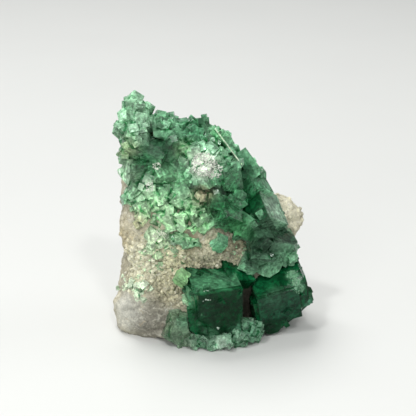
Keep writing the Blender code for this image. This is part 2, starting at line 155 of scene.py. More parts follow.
# Places on the fluorite crust: pixel, radius in mm, colour, milkiness, share covered by small cubes
CRUST_BASE = ((112, 160, 126), 0.36, 0.6)
CRUST_PLACES = [
    ("crown top", (134, 104), 6.0, (158, 200, 166), 0.38, 0.3),
    ("crown foot", (136, 124), 6.0, (156, 198, 164), 0.44, 0.5),
    ("left column top", (127, 148), 3.5, (152, 172, 128), 0.50, 0.6),
    ("left column", (125, 172), 5.0, (142, 172, 142), 0.50, 0.5),
    ("crown left edge", (117, 116), 3.0, (138, 182, 146), 0.36, 0.0),
    # The hollow: the deep green of its crystals, darkened further by painted shade
    ("hollow", (156, 145), 7.0, (0, 48, 22), 0.85, 0.0),
    ("hollow right", (170, 156), 4.5, (4, 66, 34), 0.45, 0.1),
    ("hollow foot", (142, 163), 3.5, (42, 108, 68), 0.15, 0.2),
    ("ridge left", (172, 124), 5.0, (118, 168, 132), 0.34, 0.35),
    ("ridge", (192, 131), 6.0, (72, 130, 94), 0.30, 0.3),
    ("ridge right", (216, 133), 4.0, (118, 174, 130), 0.38, 0.35),
    ("centre left", (184, 150), 3.0, (176, 216, 166), 0.55, 0.3),
    ("centre top", (212, 147), 3.5, (156, 206, 168), 0.45, 0.5),
    ("centre white", (203, 163), 3.8, (206, 220, 198), 0.80, 0.8),
    ("centre cube", (230, 181), 3.5, (80, 154, 104), 0.22, 0.3),
    ("brown pocket", (203, 196), 3.2, (138, 124, 100), 0.70, 0.5),
    ("below the pocket", (212, 206), 2.5, (44, 112, 70), 0.10, 0.3),
    # Painted shade: a crystal face that lies in shadow, painted dark green
    ("dark wall", (241, 168), 4.0, (6, 70, 38), 0.40, 0.0),
    ("middle crust", (166, 180), 6.0, (132, 192, 144), 0.38, 0.45),
    ("middle white", (150, 186), 2.2, (196, 212, 186), 0.75, 1.0),
    ("middle low", (160, 212), 7.0, (178, 212, 170), 0.54, 0.5),
    ("middle right", (192, 222), 5.0, (154, 194, 148), 0.48, 0.45),
    ("tan patch", (139, 222), 3.0, (170, 158, 122), 0.85, 0.5),
    ("pale lumps", (156, 240), 3.5, (200, 216, 182), 0.62, 0.7),
    # Painted light on one slab: the tilted facet pale grey as a painted reflection, the side beside it dark as
    # painted shade
    ("facet side", (250, 200), 5.5, (20, 98, 56), 0.35, 0.0),
    ("facet", (272, 207), 3.5, (142, 168, 146), 0.50, 0.0),
    ("right rim", (268, 183), 3.5, (104, 152, 118), 0.42, 0.5),
    ("shelf", (224, 213), 5.0, (38, 106, 62), 0.30, 0.2),
    ("shelf foot", (238, 233), 4.5, (46, 108, 62), 0.34, 0.3),
    # Painted shade: near black and dark green between the crystals at the right side
    ("side dark", (264, 244), 7.0, (0, 12, 5), 0.95, 0.0),
    ("side right", (290, 238), 3.5, (4, 42, 24), 0.75, 0.1),
]

# Whole faces of the crust: pixel, reach in mm, and the same values. The tilted facet's pale grey is a painted
# reflection of the light, and its other side's dark green is painted shade.
CRUST_FACES = [
    ("tilted facet", (272, 208), 9.0, (120, 150, 126), 0.56, 0.0),
    ("dark side of the tilted facet", (260, 208), 9.0, (6, 76, 40), 0.40, 0.0),
]

# Places on the two large crystals: pixel, radius in mm, colour, milkiness, share covered by chips
LARGE_BASE = ((8, 78, 42), 0.25, 0.05)
LARGE_PLACES = [
    ("left roof", (222, 282), 3.6, (62, 116, 82), 0.45, 0.10),
    ("left roof corner", (204, 286), 2.6, (80, 138, 100), 0.52, 0.40),
    ("left facet", (190, 300), 2.6, (84, 138, 102), 0.55, 0.30),
    ("left front", (222, 312), 5.0, (2, 50, 24), 0.30, 0.03),
    ("left front dark", (236, 304), 2.6, (1, 30, 14), 0.35, 0.03),
    ("left front haze", (208, 312), 2.4, (40, 82, 58), 0.42, 0.05),
    ("left foot", (214, 338), 2.8, (74, 120, 90), 0.40, 0.60),
    ("left foot right", (236, 334), 2.4, (96, 146, 116), 0.45, 0.60),
    ("right top", (276, 270), 4.0, (4, 66, 34), 0.25, 0.05),
    ("right top front", (262, 284), 3.0, (20, 92, 54), 0.30, 0.10),
    ("right front haze", (276, 300), 3.0, (70, 106, 82), 0.50, 0.05),
    ("right front", (296, 304), 3.4, (14, 70, 44), 0.35, 0.05),
    ("right front dark", (282, 314), 2.6, (6, 44, 28), 0.30, 0.03),
    ("right wedge", (309, 304), 2.0, (84, 146, 114), 0.50, 0.30),
    ("right foot", (268, 330), 4.0, (2, 48, 24), 0.30, 0.20),
    ("right foot facet", (290, 322), 2.4, (44, 108, 68), 0.40, 0.20),
    ("streak top", (292, 275), 1.5, (118, 178, 138), 0.60, 0.0),
    ("streak foot", (299, 288), 1.4, (112, 172, 132), 0.60, 0.0),
]

# Whole faces of the large crystals, with the same values
LARGE_FACES = [
    ("left roof", (222, 276), 14.0, (70, 122, 88), 0.50, 0.10),
    ("left front", (222, 312), 14.0, (1, 42, 18), 0.40, 0.05),
    ("left side", (189, 303), 9.0, (96, 150, 112), 0.55, 0.30),
    ("right top", (276, 268), 14.0, (3, 58, 29), 0.25, 0.05),
    ("right front", (284, 304), 14.0, (30, 74, 52), 0.40, 0.05),
]

# Places on the small crystals at the foot and on those that stand alone, with the same values
CORNER_PLACES = [
    ("top rim", (172, 308), 1.6, (150, 172, 148), 0.60, 0.0),
    ("middle", (168, 322), 3.0, (110, 134, 106), 0.42, 0.0),
    ("right side", (184, 320), 2.0, (96, 142, 110), 0.40, 0.0),
]
FOOT_PLACES = [
    ("left end", (188, 342), 2.6, (140, 160, 138), 0.42, 0.2),
    ("middle left", (204, 344), 2.2, (112, 152, 124), 0.36, 0.4),
    ("middle", (222, 346), 2.2, (170, 194, 174), 0.52, 0.3),
    ("right", (238, 336), 2.2, (130, 170, 142), 0.45, 0.3),
    ("right end", (252, 330), 2.2, (112, 164, 132), 0.40, 0.3),
]
LONE_PLACES = [
    ("lone cube top", (221, 238), 1.2, (150, 204, 166), 0.42, 0.0),
    ("lozenge top", (180, 272), 1.2, (150, 192, 140), 0.50, 0.0),
]

# Each small crystal: its node, what it has away from its places, the places, and the seed of its chips
SMALL_CRYSTALS = [
    ("corner_crystal", ((100, 124, 100), 0.50, 0.06), CORNER_PLACES, 31),
    ("foot_crystals", ((104, 150, 118), 0.36, 0.30), FOOT_PLACES, 32),
    ("single_cube", ((122, 182, 142), 0.36, 0.0), LONE_PLACES, 33),
    ("lozenge_crystal", ((132, 176, 124), 0.46, 0.0), LONE_PLACES, 34),
]
LARGE_CRYSTALS = [("large_left_crystal", 21), ("large_right_crystal", 22)]

# Loose cubes on the rock: pixel, radius in mm, number, half side in mm, colour, milkiness
LOOSE_BASE = ((190, 210, 180), 0.6)
ROCK_CUBES = [
    ("pale patch", (140, 288), 3.6, 30, 0.72, (180, 192, 168), 0.80),
    ("pale patch left", (126, 283), 2.6, 14, 0.60, (184, 192, 168), 0.80),
    ("green grains", (176, 260), 5.0, 34, 0.50, (126, 170, 118), 0.45),
    ("green grains left", (150, 260), 4.0, 30, 0.55, (172, 194, 156), 0.65),
    ("pale by the crust", (162, 246), 4.0, 34, 0.80, (206, 226, 190), 0.60),
    ("by the left crystal", (190, 298), 2.6, 34, 0.60, (150, 200, 154), 0.50),
    ("right of the lone cube", (236, 250), 4.0, 24, 0.45, (140, 180, 136), 0.50),
    ("low grains", (184, 326), 2.4, 20, 0.55, (150, 170, 148), 0.60),
]

# Thin pale plate in the crust, whose pale edge is a painted highlight: two pixels, and its thickness and depth
# in mm
PLATE_EDGE = ((217, 133), (243, 168), 0.32, 3.0)
PLATE_SINK = 0.5 * MM
PLATE_STEPS = 10

# Sugary quartz on the crystals: pixel, radius in mm, number of grains, colour
SUGAR = [
    ("centre", (204, 164), 3.6, 420, (236, 240, 228)),
    ("centre right", (214, 170), 2.6, 120, (236, 240, 228)),
    ("left of centre", (157, 166), 1.2, 30, (226, 232, 216)),
    ("middle", (150, 187), 1.4, 40, (232, 240, 224)),
    ("low", (160, 236), 2.2, 60, (222, 230, 206)),
    ("streak top", (292, 275), 1.5, 70, (120, 172, 134)),
    ("streak middle", (296, 282), 1.2, 50, (128, 178, 140)),
    ("streak foot", (299, 289), 1.4, 60, (112, 164, 128)),
    # Painted highlight: white grains that stand for glints on the large left crystal
    ("painted glint specks on the left crystal", (206, 296), 2.0, 9, (206, 226, 210)),
    ("painted glint specks below them", (219, 328), 0.7, 3, (206, 226, 210)),
]

# Places on the host rock: pixel, radius in mm, colour, quartz grains for each square millimetre
ROCK_BASE = ((178, 172, 150), 0.0)
ROCK_PLACES = [
    ("druse left", (142, 262), 6.0, (216, 214, 188), 1.8),
    ("druse middle", (176, 258), 6.0, (196, 194, 162), 2.5),
    ("druse right", (214, 262), 6.0, (176, 174, 148), 2.6),
    ("druse far right", (240, 245), 5.0, (136, 132, 108), 2.4),
    ("druse brown", (206, 275), 3.5, (112, 98, 74), 1.6),
    ("under the crust", (190, 243), 2.5, (104, 84, 56), 1.2),
    ("druse low", (172, 284), 5.0, (176, 172, 144), 1.6),
    ("left foot", (128, 308), 6.0, (186, 186, 176), 0.0),
    ("left foot low", (150, 322), 6.0, (116, 114, 104), 0.0),
    ("left edge", (132, 285), 4.0, (192, 188, 162), 0.5),
    ("left rim", (113, 316), 2.8, (206, 192, 150), 0.0),
    ("left side strip", (122, 240), 4.0, (176, 166, 134), 0.1),
    ("right lump", (290, 206), 6.0, (206, 202, 178), 0.2),
    ("upper rim", (256, 164), 4.0, (204, 202, 178), 0.2),
    # Painted shade: the rock on the floor of the hollow, painted dark green
    ("floor of the hollow", (157, 149), 4.5, (6, 58, 30), 0.0),
    # Painted shade: the rock in the gap between the large crystals and at its foot, painted near black
    ("gap between the large crystals", (244, 298), 6.0, (0, 5, 2), 0.0),
    ("foot of the gap", (243, 314), 4.0, (0, 5, 2), 0.0),
]

# Stains of the host rock: length in mm, height of the noise from which it shows, strength, colour
ROCK_STAINS = [
    (2.6, 0.60, 0.55, (186, 164, 120)),
    (3.4, 0.56, 0.50, (150, 152, 146)),
    (1.7, 0.52, 0.40, (224, 222, 206)),
]
LAYERING = (1.0, 1.0, 1.3)


def linear(colour):
    """Linear light values of a colour given in 0 to 255, as a picture shows it."""
    shares = [part / 255 for part in colour]
    return [s / 12.92 if s <= 0.04045 else ((s + 0.055) / 1.055) ** 2.4 for s in shares]


def rgba(colour):
    """A colour socket's value for a colour given in 0 to 255."""
    return (*linear(colour), 1)


def bmesh_of(mesh):
    """The mesh as a bmesh."""
    bm = bmesh.new()
    bm.from_mesh(mesh)
    return bm


def mesh_from(bm, name):
    """Turns a bmesh into a mesh."""
    mesh = bpy.data.meshes.new(name)
    bm.to_mesh(mesh)
    bm.free()
    return mesh


def tree_of(*meshes):
    """A lookup tree over the surfaces of these meshes together."""
    joined = bmesh.new()
    for mesh in meshes:
        joined.from_mesh(mesh)
    tree = BVHTree.FromBMesh(joined)
    joined.free()
    return tree


def line_of_sight(pixel):
    """The camera's place and the direction in which it sees this pixel."""
    across = pixel[0] - PHOTO_SIDE / 2
    upward = PHOTO_SIDE / 2 - pixel[1]
    ray = (VIEW_AHEAD * FOCAL + VIEW_RIGHT * across + VIEW_UP * upward).normalized()
    return CAMERA_TARGET - VIEW_AHEAD * CAMERA_DISTANCE, ray


def seen(tree, pixel):
    """The point of the surface that the photograph shows at this pixel."""
    eye, ray = line_of_sight(pixel)
    spot, _, _, _ = tree.ray_cast(eye, ray)
    return eye + ray * CAMERA_DISTANCE if spot is None else spot


def clear_of(tree, point, distance):
    """Whether a point lies outside a body and this far from its surface."""
    spot, normal, _, away = tree.find_nearest(point)
    return away > distance and (Vector(point) - spot).dot(normal) > 0


def scattered(tree, pixel, radius, count, draw):
    """Random points and normals of the surface that is seen within a radius of this pixel."""
    found = []
    for _ in range(count):
        angle = draw.uniform(0, math.tau)
        reach = radius * MM / PIXEL * math.sqrt(draw.random())
        eye, ray = line_of_sight((pixel[0] + reach * math.cos(angle), pixel[1] + reach * math.sin(angle)))
        spot, normal, _, _ = tree.ray_cast(eye, ray)
        if spot is not None:
            found.append((spot, normal))
    return found


class Places:
    """Named places on a surface, whose values blend smoothly into each other and into a base.

    Faces are whole flat faces within a reach of a pixel, with values of their own up to their edges.
    """

    def __init__(self, tree, base, rows, faces=()):
        self.centres = np.array([seen(tree, row[1]) for row in rows])
        self.radii = np.array([row[2] * MM for row in rows])
        self.values = np.array([self.flat(row[3:]) for row in rows])
        self.base = np.array(self.flat(base))
        self.faces = []
        for _, pixel, reach, *values in faces:
            spot, normal, _, _ = tree.ray_cast(*line_of_sight(pixel))
            self.faces.append((np.array(spot), np.array(normal), reach * MM, np.array(self.flat(values))))

    @staticmethod
    def flat(values):
        """One row of numbers from a colour and the values behind it."""
        return [*linear(values[0]), *values[1:]]

    def at(self, points):
        """Colour and the other values at each point, one row each."""
        points = np.atleast_2d(points)
        away = np.linalg.norm(points[:, None, :] - self.centres[None, :, :], axis=2) / self.radii
        weight = np.exp(-(away ** 2) * PLACE_FALL)
        rest = np.full((len(points), 1), BASE_SHARE)
        total = weight.sum(axis=1, keepdims=True) + rest
        found = (weight @ self.values + rest * self.base) / total
        for spot, normal, reach, values in self.faces:
            offset = points - spot
            on_face = (np.abs(offset @ normal) < ON_FACE) & (np.linalg.norm(offset, axis=1) < reach)
            found[on_face] += (values - found[on_face]) * FACE_SHARE
        return found


def new_piece(name, mesh, material):
    """Makes a piece of the specimen, which rides on its one body."""
    piece = bpy.data.objects.new(name, mesh)
    bpy.context.scene.collection.objects.link(piece)
    mesh.materials.clear()
    mesh.materials.append(material)
    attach(piece, "root")
    return piece


def with_modifier(mesh, kind, **settings):
    """The mesh that one modifier makes of this one."""
    carrier = bpy.data.objects.new("carrier", mesh)
    bpy.context.scene.collection.objects.link(carrier)
    modifier = carrier.modifiers.new("shape", kind)
    for key, value in settings.items():
        setattr(modifier, key, value)
    bpy.context.view_layer.update()
    made = bpy.data.meshes.new_from_object(carrier.evaluated_get(bpy.context.evaluated_depsgraph_get()))
    bpy.data.objects.remove(carrier)
    return made


def union(mesh, other):
    """Joins two meshes, and every closed shell inside them, into one skin."""
    for part in (mesh, other):
        bm = bmesh_of(part)
        bmesh.ops.triangulate(bm, faces=bm.faces)
        bm.to_mesh(part)
        bm.free()
    second = bpy.data.objects.new("second", other)
    bpy.context.scene.collection.objects.link(second)
    joined = with_modifier(mesh, "BOOLEAN", operation="UNION", solver="EXACT", use_self=True, object=second)
    bpy.data.objects.remove(second)
    return joined


def flat_faces_joined(mesh):
    """Joins the triangles of one plane, so that a crystal face is one polygon."""
    bm = bmesh_of(mesh)
    bmesh.ops.dissolve_limit(bm, angle_limit=FLAT_ANGLE, verts=bm.verts, edges=bm.edges)
    bm.to_mesh(mesh)
    bm.free()
    return mesh


def put_attribute(mesh, name, values, domain="POINT"):
    """Stores one colour or number for each vertex or face."""
    values = np.asarray(values, dtype=np.float32)
    if values.ndim == 2:
        layer = mesh.attributes.new(name, "FLOAT_COLOR", domain)
        opaque = np.hstack([values, np.ones((len(values), 1), dtype=np.float32)])
        layer.data.foreach_set("color", opaque.ravel())
    else:
        layer = mesh.attributes.new(name, "FLOAT", domain)
        layer.data.foreach_set("value", values)


def vertex_points(mesh):
    """Every vertex position as one row."""
    flat = np.empty(len(mesh.vertices) * 3)
    mesh.vertices.foreach_get("co", flat)
    return flat.reshape(-1, 3)


def finer_faces(mesh):
    """Splits the long edges of flat faces, so that colours can change across one face."""
    bm = bmesh_of(mesh)
    for _ in range(FACE_ROUNDS):
        bmesh.ops.triangulate(bm, faces=bm.faces)
        long_edges = [edge for edge in bm.edges if edge.calc_length() > FACE_GRID]
        if not long_edges:
            break
        bmesh.ops.subdivide_edges(bm, edges=long_edges, cuts=1)
    bmesh.ops.triangulate(bm, faces=bm.faces)
    bm.to_mesh(mesh)
    bm.free()
    return mesh


def recess_shade_amounts(mesh, draw):
    """How far each vertex lies in a recess between crystals, from 0 to 1, which sets how much shade is painted
    there.
    """
    mesh.update()
    tree = tree_of(mesh)
    leans = [Vector([draw.gauss(0, 1) for _ in range(3)]).normalized() for _ in range(RECESS_RAYS)]
    found = []
    for vert in mesh.vertices:
        start = vert.co + vert.normal * RECESS_LIFT
        closed = 0.0
        for lean in leans:
            ray = (vert.normal * RECESS_SPREAD + lean).normalized()
            away = tree.ray_cast(start, ray, RECESS_REACH)[3]
            closed += 0.0 if away is None else 1 - away / RECESS_REACH
        found.append(closed / RECESS_RAYS)
    return found


def facet_tones(mesh, seed):
    """A random number for each face, so that neighbouring crystal faces differ a little in tone."""
    return np.random.default_rng(seed).uniform(-1, 1, len(mesh.polygons))


class Shader:
    """Builds one procedural material, node by node."""

    def __init__(self, name):
        self.material = bpy.data.materials.new(name)
        self.material.use_nodes = True
        self.tree = self.material.node_tree
        self.surface = self.tree.nodes["Principled BSDF"]
        self.output = self.tree.nodes["Material Output"]
        self.space = self.tree.nodes.new("ShaderNodeTexCoord").outputs["Object"]

    def node(self, kind, inputs=None, **settings):
        """Adds a node. Inputs are values or other nodes' outputs."""
        node = self.tree.nodes.new("ShaderNode" + kind)
        for key, value in settings.items():
            setattr(node, key, value)
        for key, value in (inputs or {}).items():
            if isinstance(value, bpy.types.NodeSocket):
                self.tree.links.new(value, node.inputs[key])
            else:
                node.inputs[key].default_value = value
        return node

    def set(self, **values):
        """Sets constants on the surface's own sockets."""
        for key, value in values.items():
            self.surface.inputs[key.replace("_", " ")].default_value = value

    def link(self, key, output):
        """Feeds one socket of the surface."""
        self.tree.links.new(output, self.surface.inputs[key])

    def noise(self, length, detail=4.0, roughness=0.6, stretch=(1, 1, 1), distortion=0.0):
        """Noise whose largest features are this many millimetres long."""
        place = self.node("Mapping", {"Vector": self.space, "Scale": stretch}).outputs[0]
        inputs = {"Vector": place, "Scale": 1 / (length * MM), "Detail": detail}
        inputs.update({"Roughness": roughness, "Distortion": distortion})
        return self.node("TexNoise", inputs).outputs["Fac"]

    def cells(self, length, output="Distance"):
        """Cells of about this many millimetres."""
        inputs = {"Vector": self.space, "Scale": 1 / (length * MM)}
        return self.node("TexVoronoi", inputs).outputs[output]

    def shards(self, length, low, high, turn=(0.4, 0.3, 0.9)):
        """A brightness for each of many angular shards of about this many millimetres."""
        turned = self.node("Mapping", {"Vector": self.space, "Rotation": turn}).outputs[0]
        inputs = {"Vector": turned, "Scale": 1 / (length * MM), "Randomness": 0.9}
        shard = self.node("TexVoronoi", inputs, distance="CHEBYCHEV").outputs["Color"]
        return self.ramp(self.node("SeparateColor", {0: shard}).outputs[0], 0.0, 1.0, low, high)

    def attribute(self, name, output="Color"):
        """A value stored on the mesh."""
        return self.node("Attribute", attribute_name=name).outputs[output]

    def ramp(self, factor, low, high, to_low=0.0, to_high=1.0):
        """Maps a range of numbers to another, held at its ends."""
        inputs = {0: factor, 1: low, 2: high, 3: to_low, 4: to_high}
        return self.node("MapRange", inputs).outputs[0]

    def math(self, operation, one, other):
        """One sum on two numbers."""
        return self.node("Math", {0: one, 1: other}, operation=operation).outputs[0]

    def mix(self, factor, one, other, blend="MIX"):
        """Mixes two colours."""
        inputs = {"Factor": factor, 6: one, 7: other}
        return self.node("Mix", inputs, data_type="RGBA", blend_type=blend).outputs[2]

    def brighten(self, colour, factor):
        """Multiplies a colour by a number."""
        grey = self.node("CombineColor", {0: factor, 1: factor, 2: factor}).outputs[0]
        return self.mix(1.0, colour, grey, blend="MULTIPLY")

    def bump(self, height, depth):
        """Fine relief, whose height of 1 stands for a depth in millimetres."""
        inputs = {"Height": height, "Distance": depth * MM, "Strength": 1.0}
        self.link("Normal", self.node("Bump", inputs).outputs[0])

    def edge(self, radius):
        """How close a point is to a sharp edge, from 0 to 1."""
        rounded = self.node("Bevel", {"Radius": radius * MM}, samples=4).outputs[0]
        flat = self.node("NewGeometry").outputs["True Normal"]
        inputs = {0: rounded, 1: flat}
        turned = self.node("VectorMath", inputs, operation="DOT_PRODUCT").outputs["Value"]
        return self.ramp(turned, EDGE_FLAT, EDGE_SHARP)

    def absorb(self, colour, per_metre):
        """Clear stone's own colour, deeper where it is thicker."""
        inputs = {"Color": (*colour, 1), "Density": per_metre}
        volume = self.node("VolumeAbsorption", inputs)
        self.tree.links.new(volume.outputs[0], self.output.inputs["Volume"])


def rock_material():
    """Weathered host rock: beige, speckled, with ochre stains and grey layers."""
    s = Shader("host_rock")
    tone = s.attribute("tone")
    bright = s.ramp(s.node("RGBToBW", {0: tone}).outputs[0], 0.06, 0.25)
    broad = s.noise(13.0, 3.0, 0.5, distortion=0.6)
    tone = s.brighten(tone, s.ramp(broad, 0.35, 0.65, 0.80, 1.10))
    for length, low, share, stain in ROCK_STAINS:
        patch = s.noise(length, 5.0, 0.65, stretch=LAYERING, distortion=0.5)
        patch = s.math("MULTIPLY", s.ramp(patch, low, low + 0.12, 0.0, share), bright)
        tone = s.mix(patch, tone, rgba(stain))
    grains = s.cells(0.55, output="Color")
    light = s.ramp(s.node("SeparateColor", {0: grains}).outputs[0], 0.0, 1.0, 0.84, 1.16)
    tone = s.brighten(tone, light)
    pits = s.noise(0.5, 3.0, 0.7)
    tone = s.brighten(tone, s.ramp(pits, 0.28, 0.46, 0.70, 1.04))
    s.link("Base Color", tone)
    s.link("Roughness", s.ramp(pits, 0.3, 0.7, 0.95, 0.62))
    s.set(IOR=1.5, Specular_IOR_Level=0.25)
    s.bump(s.math("ADD", pits, s.cells(0.42)), 0.16)
    return s.material


def quartz_material():
    """Sugary quartz grains: beige to white, faintly see-through."""
    s = Shader("quartz_grains")
    tone = s.brighten(s.attribute("tone"), s.ramp(s.attribute("facet", "Fac"), -1, 1, 0.86, 1.16))
    tone = s.brighten(tone, s.ramp(s.noise(1.4, 4.0), 0.3, 0.7, 0.82, 1.12))
    s.link("Base Color", tone)
    s.link("Roughness", s.ramp(s.noise(0.6), 0.3, 0.7, 0.18, 0.50))
    s.set(IOR=QUARTZ_IOR, Transmission_Weight=0.20)
    s.bump(s.noise(0.3, 3.0), 0.02)
    return s.material


def fluorite_material(
    name, facets, shards, rim_highlight_share, sugar_share, roughness, absorbed, mirror, clear, cloud_size=1.1
):
    """Fluorite, clear green to milky, with a tone of its own on each crystal face, painted shade in recesses
    and a painted highlight along sharp edges.

    facets is the range of the faces' brightness, shards the strength of the broken tones in the crystals,
    rim_highlight_share how strongly a highlight is painted along the edges, and sugar_share how strong the
    white specks.
    absorbed is the colour and density of the clear stone, mirror its gloss, and clear the share of light let
    in where there is no milk.
    """
    s = Shader(name)
    milk = s.attribute("milk", "Fac")
    cloud = s.noise(cloud_size, 5.0, 0.65, distortion=0.4)
    tone = s.brighten(s.attribute("tone"), s.ramp(s.attribute("facet", "Fac"), -1, 1, *facets))
    tone = s.brighten(tone, s.ramp(cloud, 0.32, 0.68, 0.70, 1.30))
    tone = s.brighten(tone, s.shards(2.1, 1 - shards, 1 + 1.3 * shards))
    tone = s.brighten(tone, s.shards(0.8, 1 - shards, 1 + 1.3 * shards, turn=(0.9, 0.2, 0.5)))
    pale = s.ramp(s.node("RGBToBW", {0: s.attribute("tone")}).outputs[0], 0.05, 0.35, 0.25, 1.0)
    # Painted highlight: sharp edges of pale crystals are mixed towards a pale tone and made milkier
    rim = s.math("MULTIPLY", s.edge(0.12), pale)
    tone = s.mix(s.math("MULTIPLY", rim, rim_highlight_share), tone, rgba(RIM_HIGHLIGHT_TONE))
    sugar = s.ramp(s.noise(0.8, 4.0, 0.7, distortion=0.5), 0.58, 0.70, 0.0, sugar_share)
    sugar = s.math("MULTIPLY", s.math("MULTIPLY", sugar, milk), s.ramp(pale, 0.4, 1.0))
    tone = s.mix(sugar, tone, rgba(SPECK_TONE))
    # Painted shade: the colour is multiplied down where a point lies in a recess between crystals
    recess_shaded = s.mix(1.0, tone, RECESS_SHADE_TONE, blend="MULTIPLY")
    tone = s.mix(s.ramp(s.attribute("recess", "Fac"), 0.06, 0.55), tone, recess_shaded)
    s.link("Base Color", tone)
    veiled = s.math("ADD", milk, s.ramp(cloud, 0.3, 0.7, -0.06, 0.22))
    veiled = s.math("ADD", veiled, s.shards(1.3, -0.10, 0.22, turn=(0.2, 0.7, 0.3)))
    veiled = s.math("ADD", veiled, s.math("MULTIPLY", rim, rim_highlight_share * 0.5))
    s.link("Transmission Weight", s.ramp(veiled, 0.0, 1.0, clear, 0.05))
    s.link("Roughness", s.ramp(cloud, 0.3, 0.7, *roughness))
    s.set(IOR=FLUORITE_IOR, Specular_IOR_Level=mirror)
    s.bump(s.math("ADD", s.noise(0.45, 3.0), s.cells(0.5)), 0.03)
    s.absorb(*absorbed)
    return s.material


def floor_material():
    """Plain pale floor."""
    s = Shader("floor")
    mottle = s.noise(90.0, 2.0)
    s.link("Base Color", s.brighten(rgba(FLOOR_TONE), s.ramp(mottle, 0.3, 0.7, 0.985, 1.0)))
    s.set(Roughness=0.6, Specular_IOR_Level=0.2)
    return s.material


def rock_height(point):
    """How far the weathered surface stands out at a point, in metres."""
    p = point / MM
    lump = noise.fractal(p / LUMPS[0], 0.9, 2.1, 4) * LUMPS[1]
    ledge_place = Vector([along / length for along, length in zip(p, LEDGES[0])])
    ledge = noise.noise(ledge_place + Vector((4, 1, 7))) * LEDGES[1]
    from_crack = abs(noise.noise(p / CRACKS[0] + Vector((1, 8, 3))))
    crack = -CRACKS[1] * max(0.0, CRACK_WIDTH - from_crack) / CRACK_WIDTH
    grit = noise.fractal(p / GRIT[0] + Vector((5, 5, 2)), 0.8, 2.2, 3) * GRIT[1]
    return (lump + ledge + crack + grit) * MM


def rock_mesh(source):
    """The host rock with its weathered grain in the mesh."""
    mesh = with_modifier(source.copy(), "REMESH", mode="VOXEL", voxel_size=ROCK_VOXEL)
    bm = bmesh_of(mesh)
    bm.normal_update()
    moves = [vert.normal * rock_height(vert.co) for vert in bm.verts]
    for vert, move in zip(bm.verts, moves):
        vert.co += move * min(1.0, max(0.0, (vert.co.z - ROCK_FOOT) / ROCK_FOOT_CHANGE))
        vert.co.z = max(vert.co.z, 0.0)
    bm.to_mesh(mesh)
    bm.free()
    mesh.shade_smooth()
    return mesh


def surface_samples(mesh, count, draw):
    """Random points of a surface, spread by area: point, normal, and a direction along the face."""
    areas = [polygon.area for polygon in mesh.polygons]
    chosen = draw.choices(range(len(areas)), weights=areas, k=count)
    samples = []
    for index in chosen:
        polygon = mesh.polygons[index]
        corners = [mesh.vertices[i].co for i in polygon.vertices]
        third = draw.randrange(1, len(corners) - 1)
        u, v = draw.random(), draw.random()
        if u + v > 1:
            u, v = 1 - u, 1 - v
        point = corners[0] + (corners[third] - corners[0]) * u + (corners[third + 1] - corners[0]) * v
        edges = [corners[i] - corners[i - 1] for i in range(len(corners))]
        samples.append((point, polygon.normal.copy(), max(edges, key=lambda edge: edge.length)))
    return samples


def quartz_grain(bm, point, normal, size, draw):
    """Adds one stubby quartz point: a six-sided prism with a pyramid on it."""
    lean = Vector([draw.gauss(0, GRAIN_LEAN) for _ in range(3)])
    axis = (normal + lean).normalized()
    side = axis.orthogonal().normalized()
    other = axis.cross(side)
    start = draw.uniform(0, math.tau)
    length = size * draw.uniform(*GRAIN_LENGTH)
    foot = point - axis * size * GRAIN_SINK
    rings = []
    for height, width in ((0.0, 0.9), (GRAIN_SINK * size + length * 0.4, 1.0)):
        ring = []
        for step in range(GRAIN_SIDES):
            angle = start + step * math.tau / GRAIN_SIDES
            spread = size * width * draw.uniform(0.88, 1.12)
            outward = side * math.cos(angle) + other * math.sin(angle)
            ring.append(bm.verts.new(foot + axis * height + outward * spread))
        rings.append(ring)
    tip = bm.verts.new(foot + axis * (GRAIN_SINK * size + length) + side * size * draw.uniform(-0.2, 0.2))
    bm.faces.new(list(reversed(rings[0])))
    for step in range(GRAIN_SIDES):
        after = (step + 1) % GRAIN_SIDES
        bm.faces.new((rings[0][step], rings[0][after], rings[1][after], rings[1][step]))
        bm.faces.new((rings[1][step], rings[1][after], tip))


def cube_grain(bm, point, normal, along, half, draw, order=CUBE_ORDER):
    """Adds one small cube, mostly parallel to the face that it grows on, half sunk in it."""
    axis = normal.normalized()
    if draw.random() > order:
        axis = (axis + Vector([draw.gauss(0, CUBE_TILT) for _ in range(3)])).normalized()
        along = Vector([draw.gauss(0, 1) for _ in range(3)])
    axis = (axis + Vector([draw.gauss(0, CUBE_WOBBLE) for _ in range(3)])).normalized()
    side = (along - axis * along.dot(axis)).normalized()
    other = axis.cross(side)
    turn = Matrix((axis, side, other)).transposed().to_4x4()
    sizes = [2 * half * draw.uniform(*CUBE_SIDES) for _ in range(3)]
    centre = point + normal * half * draw.uniform(*CUBE_RISE)
    bmesh.ops.create_cube(bm, size=1, matrix=Matrix.Translation(centre) @ turn @ Matrix.Diagonal((*sizes, 1)))


def embedded(mesh, rock_tree):
    """Pushes the crystals' hidden undersides into the rock, so that no gap shows along their feet."""
    bm = bmesh_of(mesh)
    bm.normal_update()
    for vert in bm.verts:
        spot, normal, _, _ = rock_tree.find_nearest(vert.co, EMBED_REACH)
        if spot is not None:
            vert.co -= normal * EMBED_DEPTH
            vert.co.z = max(vert.co.z, 0.0)
    bm.to_mesh(mesh)
    bm.free()
    return mesh


def dressed(mesh, places, seed):
    """Stores the tone of each face, and the colour, milkiness and recess of each point; the recess sets
    painted shade.
    """
    put_attribute(mesh, "facet", facet_tones(mesh, seed), "FACE")
    finer_faces(mesh)
    values = places.at(vertex_points(mesh))
    put_attribute(mesh, "tone", values[:, :3])
    put_attribute(mesh, "milk", values[:, 3])
    put_attribute(mesh, "recess", recess_shade_amounts(mesh, random.Random(seed)))
    return mesh


